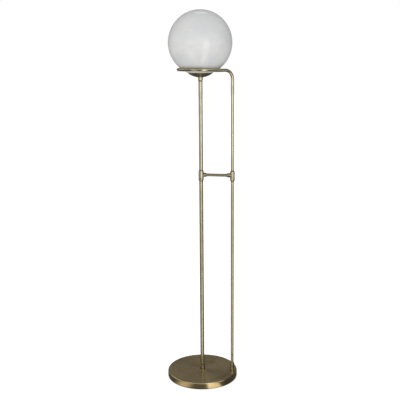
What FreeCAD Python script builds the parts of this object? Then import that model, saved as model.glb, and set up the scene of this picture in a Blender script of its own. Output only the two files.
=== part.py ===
import FreeCAD, Part
import math
import os

# Globe floor lamp: an opal glass globe on a brass stem, with a second, thinner rod beside the stem
# whose top is bent over and closed into a ring round the foot of the globe.
# Millimetres. The origin is on the floor under the stem, +Z is up and the rod stands on the +X side.
# The front of the lamp is -Y and the cord inlet is at the back, +Y.

os.makedirs("parts", exist_ok=True)

Vector = FreeCAD.Vector
UP = Vector(0, 0, 1)
RIGHT = Vector(1, 0, 0)
BACK = Vector(0, 1, 0)

# ---------------------------------------------------------------- driving dimensions

# Fits and gaps
fit = 0.03                  # between parts that slide over or into each other
cord_slack = 0.3            # round the lead in its grommet and at its ends
glass_gap = 0.3             # between the loose glass and what it sits in
ring_gap = 2.5              # between the ring and the glass where they come nearest
bulb_gap = 0.35             # between the bulb and the lampholder
bite = 1.0                  # by which shapes of one casting or sheet run into each other

# Base
base_radius = 145.0
base_height = 28.0
base_edge_radius = 6.0
cover_wall = 1.2
cover_lift = 1.5            # the cover's rim stops this far above the floor
pad_inset = 7.0             # from the base's edge to the pad's
pad_thickness = 2.0
weight_gap = 1.6            # between the casting and the cover's wall
weight_rim = 14.0           # radial width of the casting's rim
weight_web = 11.0           # thickness of the casting between hub and rim
weight_hub_radius = 26.0
weight_boss_radius = 13.0   # round the rod's screw
weight_rib = 8.0
weight_rib_count = 6
nut_web = 4.0               # iron left between the hub's pocket and the cover
pocket_radius = 14.0
screw_pocket_radius = 7.5
screw_pocket_depth = 9.0

# Stem and rod
stem_radius = 8.0
stem_wall = 1.2
rod_radius = 6.0
rod_wall = 1.0
rod_inset = 18.5            # from the base's edge to the rod's axis
bar_height = 857.0          # the cross bar's axis above the floor
stem_collar_radius = 10.2
stem_collar_height = 15.0
rod_ferrule_radius = 9.0
rod_ferrule_height = 33.0
sleeve_round = 1.5          # rounding of the collar's and the ferrule's upper edges

# Tees and cross bar
stem_tee_radius = 10.4
rod_tee_radius = 9.3
tee_above = 18.0            # from the bar's axis to the barrel's upper end
tee_below = 24.0
tee_shoulder = 6.0          # height of the curved shoulder at each end of a barrel
tee_lip = 0.6               # thickness of the barrel's wall at its ends
tee_boss_radius = 9.0
tee_boss_reach = 22.5       # from the tube's axis to the end of the boss
tee_boss_taper = 4.0
bar_radius = 6.0
bar_wall = 1.0
grub_radius = 2.5
grub_socket_radius = 1.45
grub_socket_depth = 1.2
grub_drop = 15.0            # below the bar's axis
grub_recess = 0.2

# Threaded tube and its fittings (M10), rod fittings (M6)
nipple_radius = 5.0
nipple_bore = 3.5
bush_length = 15.0
nipple_grip = 13.0          # how far a nipple reaches into a bush
nut_across_flats = 14.0
nut_thickness = 3.0
washer_radius = 9.0
washer_thickness = 1.0
stud_radius = 3.0
plug_length = 18.0
stud_grip = 15.0
screw_head_across_flats = 10.0
screw_head_height = 4.0
screw_washer_radius = 6.0

# Ring
ring_radius = 86.3          # to the middle of the ring's tube
ring_bend_radius = 33.0     # of the rod's bend into the arm
ring_rise = 1.6             # degrees by which the arm and ring climb away from the rod

# Glass globe
globe_radius = 125.0
globe_wall = 3.0
globe_centre_height = 1375.0
globe_hole_radius = 40.0

# Gallery
dish_rim_radius = 49.0
dish_depth = 16.0
dish_wall = 1.0
dish_flat_radius = 10.5
dish_collar_radius = 9.3
dish_collar_height = 12.0
dish_collar_web = 3.0
dish_collar_round = 0.9     # of its lower edge
seat_width = 5.0
seat_inset = 1.5            # from the seat's inner edge to the edge of the glass
clip_thickness = 0.6
clip_width = 8.0
clip_count = 3
clip_lift = 1.0             # of the knee above the dish
clip_crest_rise = 1.0       # of the crest above the inner edge of the glass
clip_tip_rise = 6.0         # of the tip above the crest
clip_tip_draw = 3.5         # of the tip inwards from the crest

# Lampholder (E27)
holder_boss_radius = 8.0
holder_boss_height = 8.0
holder_cap_radius = 19.5
holder_cap_height = 20.0
holder_shoulder = 8.0       # rounding of the cap's shoulder
holder_floor = 3.0          # thickness of the cap's floor
holder_wall = 1.5
holder_ledge = 3.0          # width of the ledge that carries the core
core_thickness = 10.0
core_sunk = 6.5             # how far the core stands inside the cap
core_recess_depth = 3.0
core_hole_radius = 2.2
core_hole_offset = 11.0
skirt_wall = 1.4
skirt_overlap = 7.0
skirt_height = 39.0
skirt_mouth_radius = 17.0
shell_wall = 0.4
shell_height = 26.0
shell_flange = 2.2
contact_width = 6.0
contact_thickness = 0.5
contact_rise = 3.0
contact_inset = 2.0         # from the recess's edge to the contact's fold
contact_slope = 6.4         # level length of the tongue's slope
contact_dip = 0.9           # of the tongue's ends below its top
contact_top = 5.0           # level length of the tongue's top
contact_tip = 1.4           # level length of its turned-down end
terminal_offset = 8.6
terminal_head_radius = 2.8
terminal_head_height = 1.6

# Bulb (E27, 60 mm)
bulb_radius = 30.0
bulb_length = 105.0
bulb_glass_wall = 0.8
bulb_neck_radius = 14.3
bulb_shoulder_radius = 40.0
bulb_cap_radius = 13.0
bulb_cap_height = 22.0
bulb_cap_plain = 3.6        # height of the plain band at each end of the cap's thread
bulb_thread_depth = 0.8
bulb_thread_count = 5
bulb_insulator_height = 2.6
bulb_tip_radius = 4.8
bulb_tip_height = 1.4

# Lead and its inlet
lead_radius = 2.6
lead_height = 8.0           # of its lower run above the floor
lead_bend_radius = 11.0
lead_slot_width = 7.5
grommet_hole_radius = 4.6
grommet_flange_radius = 6.2
grommet_flange = 1.2
grommet_length = 7.0

# ---------------------------------------------------------------- derived heights and radii

rod_offset = base_radius - rod_inset
pad_radius = base_radius - pad_inset
cover_ceiling = base_height - cover_wall
weight_radius = base_radius - cover_wall - weight_gap
nut_ceiling = cover_ceiling - nut_web
washer_floor = nut_ceiling - washer_thickness
nut_floor = washer_floor - nut_thickness
stem_bore = stem_radius - stem_wall
rod_bore = rod_radius - rod_wall

dish_centre_rise = (dish_rim_radius**2 - dish_flat_radius**2 + dish_depth**2) / (2 * dish_depth)
dish_outer_sphere = math.hypot(dish_rim_radius, dish_centre_rise - dish_depth)
dish_inner_sphere = dish_outer_sphere - dish_wall
dish_lip_radius = dish_rim_radius * dish_inner_sphere / dish_outer_sphere
dish_lip_drop = (dish_centre_rise - dish_depth) * dish_inner_sphere / dish_outer_sphere
dish_lip_height = globe_centre_height - math.sqrt((globe_radius + glass_gap) ** 2 - dish_lip_radius**2)
dish_centre_height = dish_lip_height + dish_lip_drop
dish_height = dish_centre_height - dish_centre_rise
dish_floor = dish_height + dish_wall

stem_top = dish_height - dish_collar_web
washer_seat = dish_floor + clip_thickness
dish_nut_floor = washer_seat + washer_thickness
holder_height = dish_nut_floor + nut_thickness
core_floor = holder_height + holder_cap_height - core_sunk
core_top = core_floor + core_thickness
holder_bore = holder_cap_radius - holder_wall
shell_bore = bulb_cap_radius + bulb_gap
skirt_bore = holder_cap_radius + fit
skirt_floor = holder_height + holder_cap_height - skirt_overlap
bulb_height = core_top - core_recess_depth + contact_rise + contact_thickness + bulb_gap
bulb_centre_height = bulb_height + bulb_length - bulb_radius

globe_bore = globe_radius - globe_wall
hole_outer_edge = globe_centre_height - math.sqrt(globe_radius**2 - globe_hole_radius**2)
hole_inner_edge = globe_centre_height - math.sqrt(globe_bore**2 - globe_hole_radius**2)

# The ring's plane climbs away from the rod. Its centre is on the stem's axis, as far under the globe's
# centre as puts the ring's highest point the named gap away from the glass.
rise = math.radians(ring_rise)
ring_clear = globe_radius + rod_radius + ring_gap
ring_lift = ring_radius * math.sin(rise)
ring_drop = ring_lift + math.sqrt(ring_lift**2 - ring_radius**2 + ring_clear**2)
ring_height = globe_centre_height - ring_drop
arm_length = math.sqrt(rod_offset**2 - ring_radius**2) / math.cos(rise)
arm_height = ring_height - arm_length * math.sin(rise)


# ---------------------------------------------------------------- tools for shapes


class Outline:
    """A closed outline in the XZ plane, drawn edge by edge; x is the distance from the axis."""

    def __init__(self, x, z):
        self.start = Vector(x, 0, z)
        self.here = self.start
        self.edges = []

    def line(self, x, z):
        there = Vector(x, 0, z)
        self.edges.append(Part.makeLine(self.here, there))
        self.here = there
        return self

    def arc(self, centre_x, centre_z, x, z):
        """The shorter arc about a centre to the point (x, z)."""
        there = Vector(x, 0, z)
        centre = Vector(centre_x, 0, centre_z)
        middle = (self.here - centre) + (there - centre)
        middle.normalize()
        middle = centre + middle * (self.here - centre).Length
        self.edges.append(Part.Arc(self.here, middle, there).toShape())
        self.here = there
        return self

    def face(self):
        if self.here.distanceToPoint(self.start) > 1e-6:
            self.line(self.start.x, self.start.z)
        return Part.Face(Part.Wire(self.edges))

    def spin(self, x=0.0):
        """The outline turned round the vertical axis through x."""
        return self.face().revolve(Vector(0, 0, 0), UP, 360).translated(Vector(x, 0, 0))


def tube(outer, inner, low, high, x=0.0):
    """A plain vertical tube, bush or washer."""
    shell = Part.makeCylinder(outer, high - low, Vector(x, 0, low))
    return shell.cut(Part.makeCylinder(inner, high - low, Vector(x, 0, low)))


def rod(radius, low, high, x=0.0, y=0.0):
    """A plain vertical cylinder."""
    return Part.makeCylinder(radius, high - low, Vector(x, y, low))


def hexagon(across_flats, low, high, x=0.0):
    """A hexagonal prism, as of a nut or a screw head."""
    corner = across_flats / math.sqrt(3)
    angles = [math.radians(60 * step) for step in range(7)]
    points = [Vector(x + corner * math.cos(a), corner * math.sin(a), low) for a in angles]
    return Part.Face(Part.makePolygon(points)).extrude(Vector(0, 0, high - low))


def sleeve(outer, bore, low, high, x=0.0):
    """A tube whose upper outer edge is rounded."""
    outline = Outline(bore, low)
    outline.line(outer, low)
    outline.line(outer, high - sleeve_round)
    outline.arc(outer - sleeve_round, high - sleeve_round, outer - sleeve_round, high)
    outline.line(bore, high)
    return outline.spin(x)


def strip(points, thickness, width):
    """A bent strip of sheet that follows points in the XZ plane, thickened towards the sheet's left."""
    path = Part.makePolygon([Vector(x, 0, z) for x, z in points])
    band = path.makeOffset2D(thickness, 2, True, True)  # 2 keeps the corners sharp
    return band.extrude(BACK * width).translated(BACK * (-width / 2))


def turned(shape, angle):
    """A copy of a shape, turned about the stem's axis by an angle in degrees."""
    copy = shape.copy()
    copy.rotate(Vector(0, 0, 0), UP, angle)
    return copy


def save(name, shape):
    """Writes one part, as one solid or as a group of like solids."""
    solids = shape.Solids
    body = solids[0] if len(solids) == 1 else Part.makeCompound(solids)
    body.exportStep("parts/" + name + ".step")
    print(name, len(solids), round(body.Volume), body.isValid())


# ---------------------------------------------------------------- base


def base_cover():
    wall_top = base_height - base_edge_radius
    edge_x = base_radius - base_edge_radius
    outline = Outline(base_radius, cover_lift)
    outline.line(base_radius, wall_top)
    outline.arc(edge_x, wall_top, edge_x, base_height)
    outline.line(nipple_radius + fit, base_height)
    outline.line(nipple_radius + fit, cover_ceiling)
    outline.line(edge_x, cover_ceiling)
    outline.arc(edge_x, wall_top, base_radius - cover_wall, wall_top)
    outline.line(base_radius - cover_wall, cover_lift)
    cover = outline.spin()
    cover = cover.cut(rod(stud_radius + fit, cover_ceiling, base_height, rod_offset))
    inlet = Part.makeCylinder(grommet_hole_radius, base_radius, Vector(0, 0, lead_height), BACK)
    return cover.cut(inlet)


def base_weight():
    """An iron casting: web, rim, hub and rod boss, with ribs between hub and rim."""
    corner = base_edge_radius
    rim_bore = weight_radius - weight_rim
    web_floor = cover_ceiling - weight_web
    outline = Outline(nipple_radius + fit, cover_ceiling)
    outline.line(weight_radius - corner, cover_ceiling)
    outline.line(weight_radius, cover_ceiling - corner)
    outline.line(weight_radius, pad_thickness)
    outline.line(rim_bore, pad_thickness)
    outline.line(rim_bore, web_floor)
    outline.line(weight_hub_radius, web_floor)
    outline.line(weight_hub_radius, pad_thickness)
    outline.line(pocket_radius, pad_thickness)
    outline.line(pocket_radius, nut_ceiling)
    outline.line(nipple_radius + fit, nut_ceiling)
    casting = outline.spin()
    casting = casting.fuse(rod(weight_boss_radius, pad_thickness, cover_ceiling, rod_offset))
    rib_span = rim_bore - weight_hub_radius + 2 * bite
    rib_height = web_floor - pad_thickness + bite
    for step in range(weight_rib_count):
        corner_point = Vector(weight_hub_radius - bite, -weight_rib / 2, pad_thickness)
        rib = Part.makeBox(rib_span, weight_rib, rib_height, corner_point)
        casting = casting.fuse(turned(rib, 360 / weight_rib_count * step))
    casting = casting.removeSplitter()
    casting = casting.cut(rod(stud_radius + fit, pad_thickness, cover_ceiling, rod_offset))
    screw_ceiling = pad_thickness + screw_pocket_depth
    casting = casting.cut(rod(screw_pocket_radius, pad_thickness, screw_ceiling, rod_offset))
    slot_height = lead_height + lead_slot_width / 2 - pad_thickness
    slot_corner = Vector(-lead_slot_width / 2, 0, pad_thickness)
    casting = casting.cut(Part.makeBox(lead_slot_width, base_radius, slot_height, slot_corner))
    notch_start = Vector(0, base_radius - grommet_length - weight_gap, lead_height)
    notch = Part.makeCylinder(grommet_flange_radius + weight_gap, base_radius, notch_start, BACK)
    return casting.cut(notch)


def base_pad():
    return rod(pad_radius, 0, pad_thickness)


def cord_grommet():
    """A bush in the cover's wall, with a flange on each side of the sheet."""
    outer_face = base_radius
    inner_face = base_radius - cover_wall
    inner_end = outer_face - grommet_length
    neck = grommet_hole_radius - fit
    outline = Outline(lead_radius + cord_slack, inner_end)
    outline.line(neck, inner_end)
    outline.line(grommet_flange_radius, inner_face - grommet_flange)
    outline.line(grommet_flange_radius, inner_face - cord_slack)
    outline.line(neck, inner_face - cord_slack)
    outline.line(neck, outer_face)
    outline.line(grommet_flange_radius, outer_face)
    outline.line(grommet_flange_radius - grommet_flange / 2, outer_face + grommet_flange)
    outline.line(lead_radius + cord_slack, outer_face + grommet_flange)
    bush = outline.spin()
    bush.rotate(Vector(0, 0, 0), RIGHT, -90)
    return bush.translated(Vector(0, 0, lead_height))


# ---------------------------------------------------------------- stem and rod


def bush(low):
    return tube(stem_bore - fit, nipple_radius + fit, low, low + bush_length)


def stem_end_bushes():
    """The threaded bushes in the four ends of the two stem tubes."""
    lows = [base_height, bar_height - bush_length, bar_height, stem_top - bush_length]
    return Part.makeCompound([bush(low) for low in lows])


def plug(low):
    return tube(rod_bore - fit, stud_radius + fit, low, low + plug_length, rod_offset)


def rod_end_plugs():
    """The threaded plugs in the rod's foot and at the joint inside its tee."""
    lows = [base_height, bar_height - plug_length, bar_height]
    return Part.makeCompound([plug(low) for low in lows])


def rod_foot_screw():
    seat = pad_thickness + screw_pocket_depth
    head_top = seat - washer_thickness
    head = hexagon(screw_head_across_flats, head_top - screw_head_height, head_top, rod_offset)
    shank = rod(stud_radius, head_top, base_height + stud_grip, rod_offset)
    return head.fuse(shank).removeSplitter()


def rod_foot_washer():
    seat = pad_thickness + screw_pocket_depth
    return tube(screw_washer_radius, stud_radius + fit, seat - washer_thickness, seat, rod_offset)


def nut(low):
    return hexagon(nut_across_flats, low, low + nut_thickness).cut(
        rod(nipple_radius + fit, low, low + nut_thickness)
    )


def barrel(radius, bore, low, high):
    """A sleeve that swells from a thin lip at each end to its full radius, by a curved shoulder."""
    swell = radius - bore - tee_lip
    curve = (tee_shoulder**2 + swell**2) / (2 * swell)
    outline = Outline(bore, low)
    outline.line(bore + tee_lip, low)
    outline.arc(radius - curve, low + tee_shoulder, radius, low + tee_shoulder)
    outline.line(radius, high - tee_shoulder)
    outline.arc(radius - curve, high - tee_shoulder, bore + tee_lip, high)
    outline.line(bore, high)
    return outline.spin()


def boss(bore):
    """The side boss of a tee, lying along +X from the tube's axis, tapered at its end."""
    end_radius = bar_radius + tee_lip
    outline = Outline(0, 0)
    outline.line(tee_boss_radius, 0)
    outline.line(tee_boss_radius, tee_boss_reach - tee_boss_taper)
    outline.line(end_radius, tee_boss_reach)
    outline.line(0, tee_boss_reach)
    solid = outline.spin()
    solid.rotate(Vector(0, 0, 0), BACK, 90)
    solid = solid.translated(Vector(0, 0, bar_height))
    return solid.cut(rod(bore, bar_height - tee_below, bar_height + tee_above))


def tee(radius, tube_radius, grub_side):
    """A tee about the Z axis whose boss points along +X; the grub screw is at grub_side on Y."""
    bore = tube_radius + fit
    body = barrel(radius, bore, bar_height - tee_below, bar_height + tee_above)
    body = body.fuse(boss(bore)).removeSplitter()
    bar_bore = Part.makeCylinder(bar_radius + fit, tee_boss_reach, Vector(0, 0, bar_height), RIGHT)
    grub_at = Vector(0, 0, bar_height - grub_drop)
    grub_bore = Part.makeCylinder(grub_radius + fit, radius, grub_at, BACK * grub_side)
    return body.cut(bar_bore).cut(grub_bore)


def stem_tee():
    return tee(stem_tee_radius, stem_radius, -1)


def rod_tee():
    body = tee(rod_tee_radius, rod_radius, -1)
    return turned(body, 180).translated(RIGHT * rod_offset)


def cross_bar():
    start = stem_radius + 2 * fit
    length = rod_offset - rod_radius - 2 * fit - start
    at = Vector(start, 0, bar_height)
    bar = Part.makeCylinder(bar_radius, length, at, RIGHT)
    bar = bar.cut(Part.makeCylinder(bar_radius - bar_wall, length, at, RIGHT))
    # the ends are coped to the tubes that they butt against
    bar = bar.cut(rod(stem_radius + 2 * fit, bar_height - bar_radius, bar_height + bar_radius))
    return bar.cut(rod(rod_radius + 2 * fit, bar_height - bar_radius, bar_height + bar_radius, rod_offset))


def grub_screw(tee_radius, tube_radius):
    """One grub screw from the tube's wall outwards along +Y, with a hexagonal socket."""
    length = tee_radius - grub_recess - tube_radius - fit
    screw = Part.makeCylinder(grub_radius, length, Vector(0, 0, 0), UP)
    socket = hexagon(2 * grub_socket_radius, length - grub_socket_depth, length)
    screw = screw.cut(socket)
    screw.rotate(Vector(0, 0, 0), RIGHT, -90)
    return screw.translated(Vector(0, tube_radius + fit, bar_height - grub_drop))


def tee_grub_screws():
    """The stem's screw faces the front, the rod's the back."""
    front = turned(grub_screw(stem_tee_radius, stem_radius), 180)
    back = grub_screw(rod_tee_radius, rod_radius).translated(RIGHT * rod_offset)
    return Part.makeCompound([front, back])


# ---------------------------------------------------------------- ring


def ring_frame():
    """Directions along the arm (from the rod to the ring) and level across it towards the stem."""
    swing = math.acos(ring_radius / rod_offset)
    heading = Vector(-math.sin(swing), -math.cos(swing), 0)
    along = heading * math.cos(rise) + UP * math.sin(rise)
    across = Vector(-math.cos(swing), math.sin(swing), 0)
    return along, across


def rod_path():
    """The middle line of the rod's upper length: up, bent over, and out along the arm to the ring."""
    along = ring_frame()[0]
    corner = Vector(rod_offset, 0, arm_height)
    turn = math.acos(along.dot(UP))
    setback = ring_bend_radius * math.tan(turn / 2)
    bend_start = corner - UP * setback
    bend_end = corner + along * setback
    level = along - UP * along.dot(UP)
    level.normalize()
    bend_centre = bend_start + level * ring_bend_radius
    halfway = (bend_start - bend_centre) + (bend_end - bend_centre)
    halfway.normalize()
    bend_middle = bend_centre + halfway * ring_bend_radius
    return [
        Part.makeLine(Vector(rod_offset, 0, bar_height), bend_start),
        Part.Arc(bend_start, bend_middle, bend_end).toShape(),
        Part.makeLine(bend_end, corner + along * arm_length),
    ]


def ring_centre():
    along, across = ring_frame()
    return Vector(rod_offset, 0, arm_height) + along * arm_length + across * ring_radius


def ring_arc(angle):
    """The ring's middle line, from where the arm touches it on through an angle in radians."""
    along, across = ring_frame()

    def at(turn):
        return ring_centre() + (along * math.sin(turn) - across * math.cos(turn)) * ring_radius

    return Part.Arc(at(0), at(angle / 2), at(angle)).toShape()


def sweep(edges, radius):
    """A round bar of a radius along a path that starts straight up."""
    start = edges[0].Vertexes[0].Point
    section = Part.Wire([Part.Circle(start, UP, radius).toShape()])
    return Part.Wire(edges).makePipeShell([section], True, True)


def ring_rod():
    """Rod, arm and ring in one tube. The ring's end is closed where it is coped to the arm."""
    along, across = ring_frame()
    solid = sweep(rod_path(), rod_radius)
    ring = Part.makeTorus(ring_radius, rod_radius, ring_centre(), across.cross(along))
    solid = solid.fuse(ring)
    closed_angle = math.acos(1 - 2 * rod_radius / ring_radius)
    bore_path = rod_path() + [ring_arc(2 * math.pi - closed_angle)]
    return solid.cut(sweep(bore_path, rod_bore))


# ---------------------------------------------------------------- gallery


def on_dish(sphere, x):
    """The height of one of the dish's two surfaces at a distance from the axis."""
    return dish_centre_height - math.sqrt(sphere**2 - x**2)


def gallery_dish():
    inner_flat = math.sqrt(dish_inner_sphere**2 - (dish_centre_height - dish_floor) ** 2)
    outline = Outline(nipple_radius + fit, dish_height)
    outline.line(dish_flat_radius, dish_height)
    outline.arc(0, dish_centre_height, dish_rim_radius, dish_height + dish_depth)
    outline.line(dish_lip_radius, dish_lip_height)
    outline.arc(0, dish_centre_height, inner_flat, dish_floor)
    outline.line(nipple_radius + fit, dish_floor)
    return outline.spin()


def dish_collar():
    """A collar with a socket for the stem's top below and a web under the dish."""
    low = dish_height - dish_collar_height
    round_x = dish_collar_radius - dish_collar_round
    outline = Outline(stem_radius + fit, low)
    outline.line(round_x, low)
    outline.arc(round_x, low + dish_collar_round, dish_collar_radius, low + dish_collar_round)
    outline.line(dish_collar_radius, dish_height)
    outline.line(nipple_radius + fit, dish_height)
    outline.line(nipple_radius + fit, stem_top)
    outline.line(stem_radius + fit, stem_top)
    return outline.spin()


def globe_seat():
    """A moulded ring that fills the wedge between the dish and the glass."""
    inner = globe_hole_radius + seat_inset
    outer = inner + seat_width
    sphere = globe_radius + glass_gap

    def under_glass(x):
        return globe_centre_height - math.sqrt(sphere**2 - x**2)

    outline = Outline(inner, on_dish(dish_inner_sphere, inner))
    outline.arc(0, dish_centre_height, outer, on_dish(dish_inner_sphere, outer))
    outline.line(outer, under_glass(outer))
    outline.arc(0, globe_centre_height, inner, under_glass(inner))
    return outline.spin()


def globe_clips():
    """A spring spider: a washer with arms that rise through the hole and press outwards on its edge."""
    crest_x = globe_hole_radius - glass_gap
    leg_x = crest_x - clip_tip_draw
    knee_z = on_dish(dish_inner_sphere, leg_x) + clip_lift
    crest_z = hole_inner_edge + clip_crest_rise
    root_x = nipple_radius + fit + bite
    flat_x = math.sqrt(dish_flat_radius**2 - (clip_width / 2) ** 2)
    points = [
        (root_x, dish_floor),
        (flat_x, dish_floor),
        (leg_x, knee_z),
        (crest_x, crest_z),
        (crest_x - clip_tip_draw, crest_z + clip_tip_rise),
    ]
    arm = strip(points, clip_thickness, clip_width)
    spider = tube(washer_radius, nipple_radius + fit, dish_floor, dish_floor + clip_thickness)
    for step in range(clip_count):
        spider = spider.fuse(turned(arm, 90 + 360 / clip_count * step))
    return spider.removeSplitter()


# ---------------------------------------------------------------- lampholder


def holder_cap():
    """The holder's lower half: a threaded boss that flares into a cup with a ledge for the core."""
    high = holder_height + holder_cap_height
    shoulder_floor = holder_height + holder_boss_height - holder_floor
    shoulder_x = holder_cap_radius - holder_shoulder
    shoulder_top = shoulder_floor + holder_shoulder
    outline = Outline(nipple_radius + fit, holder_height)
    outline.line(holder_boss_radius, holder_height)
    outline.line(holder_boss_radius, shoulder_floor)
    outline.line(shoulder_x, shoulder_floor)
    outline.arc(shoulder_x, shoulder_top, holder_cap_radius, shoulder_top)
    outline.line(holder_cap_radius, high)
    outline.line(holder_bore, high)
    outline.line(holder_bore, core_floor)
    outline.line(holder_bore - holder_ledge, core_floor)
    outline.line(nipple_radius + fit, holder_height + holder_boss_height)
    return outline.spin()


def holder_core():
    """The insulating disc: a recess for the contact, a hole for the lead's cores on each side."""
    disc = rod(holder_bore - fit, core_floor, core_top)
    recess_floor = core_top - core_recess_depth
    disc = disc.cut(rod(shell_bore - shell_flange, recess_floor, core_top))
    for side in (-1, 1):
        disc = disc.cut(rod(core_hole_radius, core_floor, core_top, 0, side * core_hole_offset))
    return disc


def holder_shell():
    """The screw shell: a thin brass cup whose bottom flange lies on the core."""
    outer = shell_bore + shell_wall
    high = core_top + shell_height
    outline = Outline(shell_bore, core_top + shell_wall)
    outline.line(shell_bore, high)
    outline.line(outer, high)
    outline.line(outer, core_top)
    outline.line(shell_bore - shell_flange, core_top)
    outline.line(shell_bore - shell_flange, core_top + shell_wall)
    return outline.spin()


def holder_contact():
    """The sprung centre contact: a tongue folded up from the floor of the core's recess."""
    floor = core_top - core_recess_depth
    reach = shell_bore - shell_flange - contact_inset
    slope_end = contact_slope - reach
    top_end = slope_end + contact_top
    top = floor + contact_rise
    points = [
        (reach, floor + contact_thickness),
        (-reach, floor + contact_thickness),
        (-reach + contact_dip, top - contact_dip),
        (slope_end, top),
        (top_end, top),
        (top_end + contact_tip, top - contact_dip),
    ]
    return strip(points, contact_thickness, contact_width)


def holder_screws():
    """The two terminal screws, heads down under the core."""
    screws = []
    for side in (-1, 1):
        x = side * terminal_offset
        screws.append(rod(terminal_head_radius, core_floor - terminal_head_height, core_floor, x))
    return Part.makeCompound(screws)


def holder_skirt():
    """The outer sleeve: it slips over the cap and turns in to a rounded mouth at the top."""
    outer = skirt_bore + skirt_wall
    high = skirt_floor + skirt_height
    turn_in = outer - skirt_mouth_radius
    outline = Outline(skirt_bore, skirt_floor)
    outline.line(outer, skirt_floor)
    outline.line(outer, high - turn_in)
    outline.arc(skirt_mouth_radius, high - turn_in, skirt_mouth_radius, high)
    outline.line(skirt_mouth_radius, high - skirt_wall)
    outline.arc(skirt_mouth_radius, high - turn_in, skirt_bore, high - turn_in)
    return outline.spin()


# ---------------------------------------------------------------- lead


def inner_lead():
    """From just inside the grommet, forward to the stem's axis and up it to the lampholder's core."""
    bend = lead_bend_radius
    start = Vector(0, base_radius - grommet_length - cord_slack, lead_height)
    bend_start = Vector(0, bend, lead_height)
    half = bend * math.sqrt(0.5)
    bend_middle = Vector(0, bend - half, lead_height + bend - half)
    bend_end = Vector(0, 0, lead_height + bend)
    edges = [
        Part.makeLine(start, bend_start),
        Part.Arc(bend_start, bend_middle, bend_end).toShape(),
        Part.makeLine(bend_end, Vector(0, 0, core_floor - cord_slack)),
    ]
    section = Part.Wire([Part.Circle(start, BACK, lead_radius).toShape()])
    return Part.Wire(edges).makePipeShell([section], True, True)


# ---------------------------------------------------------------- globe and bulb


def glass_globe():
    centre = globe_centre_height
    outline = Outline(globe_hole_radius, hole_outer_edge)
    outline.arc(0, centre, 0, centre + globe_radius)
    outline.line(0, centre + globe_bore)
    outline.arc(0, centre, globe_hole_radius, hole_inner_edge)
    return outline.spin()


def bulb_neck_top():
    """Where the neck's straight part gives way to the curve that runs into the ball."""
    reach = bulb_radius + bulb_shoulder_radius
    side = bulb_neck_radius + bulb_shoulder_radius
    return bulb_centre_height - math.sqrt(reach**2 - side**2)


def bulb_outline(shrink, floor):
    """Half of the bulb's ball, shoulder and neck, drawn inwards by a wall's thickness."""
    ball = bulb_radius - shrink
    shoulder = bulb_shoulder_radius + shrink
    neck = bulb_neck_radius - shrink
    neck_top = bulb_neck_top()
    side = bulb_neck_radius + bulb_shoulder_radius
    reach = bulb_radius + bulb_shoulder_radius
    touch_x = side * ball / reach
    touch_z = bulb_centre_height - (bulb_centre_height - neck_top) * ball / reach
    outline = Outline(0, floor)
    outline.line(neck, floor)
    outline.line(neck, neck_top)
    outline.arc(side, neck_top, touch_x, touch_z)
    outline.arc(0, bulb_centre_height, 0, bulb_centre_height + ball)
    return outline.spin()


def bulb_cap_floor():
    return bulb_height + bulb_tip_height + bulb_insulator_height


def bulb_glass():
    floor = bulb_cap_floor() + bulb_cap_height
    solid = bulb_outline(0, floor)
    return solid.cut(bulb_outline(bulb_glass_wall, floor + bulb_glass_wall))


def bulb_cap():
    """The screw cap: rounded thread ridges, drawn as rings, on a plain cup."""
    low = bulb_cap_floor()
    high = low + bulb_cap_height
    root = bulb_cap_radius - bulb_thread_depth
    pitch = (bulb_cap_height - 2 * bulb_cap_plain) / bulb_thread_count
    curve = (pitch**2 / 4 + bulb_thread_depth**2) / (2 * bulb_thread_depth)
    outline = Outline(0, low)
    outline.line(root, low)
    outline.line(root, low + bulb_cap_plain)
    for step in range(bulb_thread_count):
        middle = low + bulb_cap_plain + (step + 0.5) * pitch
        outline.arc(bulb_cap_radius - curve, middle, root, middle + pitch / 2)
    outline.line(root, high)
    outline.line(0, high)
    return outline.spin()


def bulb_insulator():
    low = bulb_height + bulb_tip_height
    outline = Outline(0, low)
    outline.line(bulb_tip_radius, low)
    outline.line(bulb_cap_radius - 2 * bulb_thread_depth, low + bulb_insulator_height)
    outline.line(0, low + bulb_insulator_height)
    return outline.spin()


def bulb_tip():
    """The solder dome on the end of the bulb."""
    drop = bulb_tip_height
    sphere = (bulb_tip_radius**2 + drop**2) / (2 * drop)
    outline = Outline(0, bulb_height)
    outline.arc(0, bulb_height + sphere, bulb_tip_radius, bulb_height + drop)
    outline.line(0, bulb_height + drop)
    return outline.spin()


# ---------------------------------------------------------------- the lamp

save("base_cover", base_cover())
save("base_weight", base_weight())
save("base_pad", base_pad())
save("cord_grommet", cord_grommet())
save("stem_foot_collar", sleeve(stem_collar_radius, stem_radius + fit, base_height,
                                base_height + stem_collar_height))
save("stem_foot_nipple", tube(nipple_radius, nipple_bore, nut_floor, base_height + nipple_grip))
save("stem_foot_washer", tube(washer_radius, nipple_radius + fit, washer_floor, nut_ceiling))
save("stem_foot_nut", nut(nut_floor))
save("rod_foot_ferrule", sleeve(rod_ferrule_radius, rod_radius + fit, base_height,
                                base_height + rod_ferrule_height, rod_offset))
save("rod_foot_screw", rod_foot_screw())
save("rod_foot_washer", rod_foot_washer())

save("stem_lower_tube", tube(stem_radius, stem_bore, base_height, bar_height))
save("stem_upper_tube", tube(stem_radius, stem_bore, bar_height, stem_top))
save("stem_end_bushes", stem_end_bushes())
save("stem_joint_nipple", tube(nipple_radius, nipple_bore, bar_height - nipple_grip,
                               bar_height + nipple_grip))
save("stem_tee", stem_tee())
save("cross_bar", cross_bar())
save("rod_tee", rod_tee())
save("tee_grub_screws", tee_grub_screws())
save("rod_lower_tube", tube(rod_radius, rod_bore, base_height, bar_height, rod_offset))
save("rod_end_plugs", rod_end_plugs())
save("rod_joint_stud", rod(stud_radius, bar_height - stud_grip, bar_height + stud_grip, rod_offset))
save("ring_rod", ring_rod())

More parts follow.
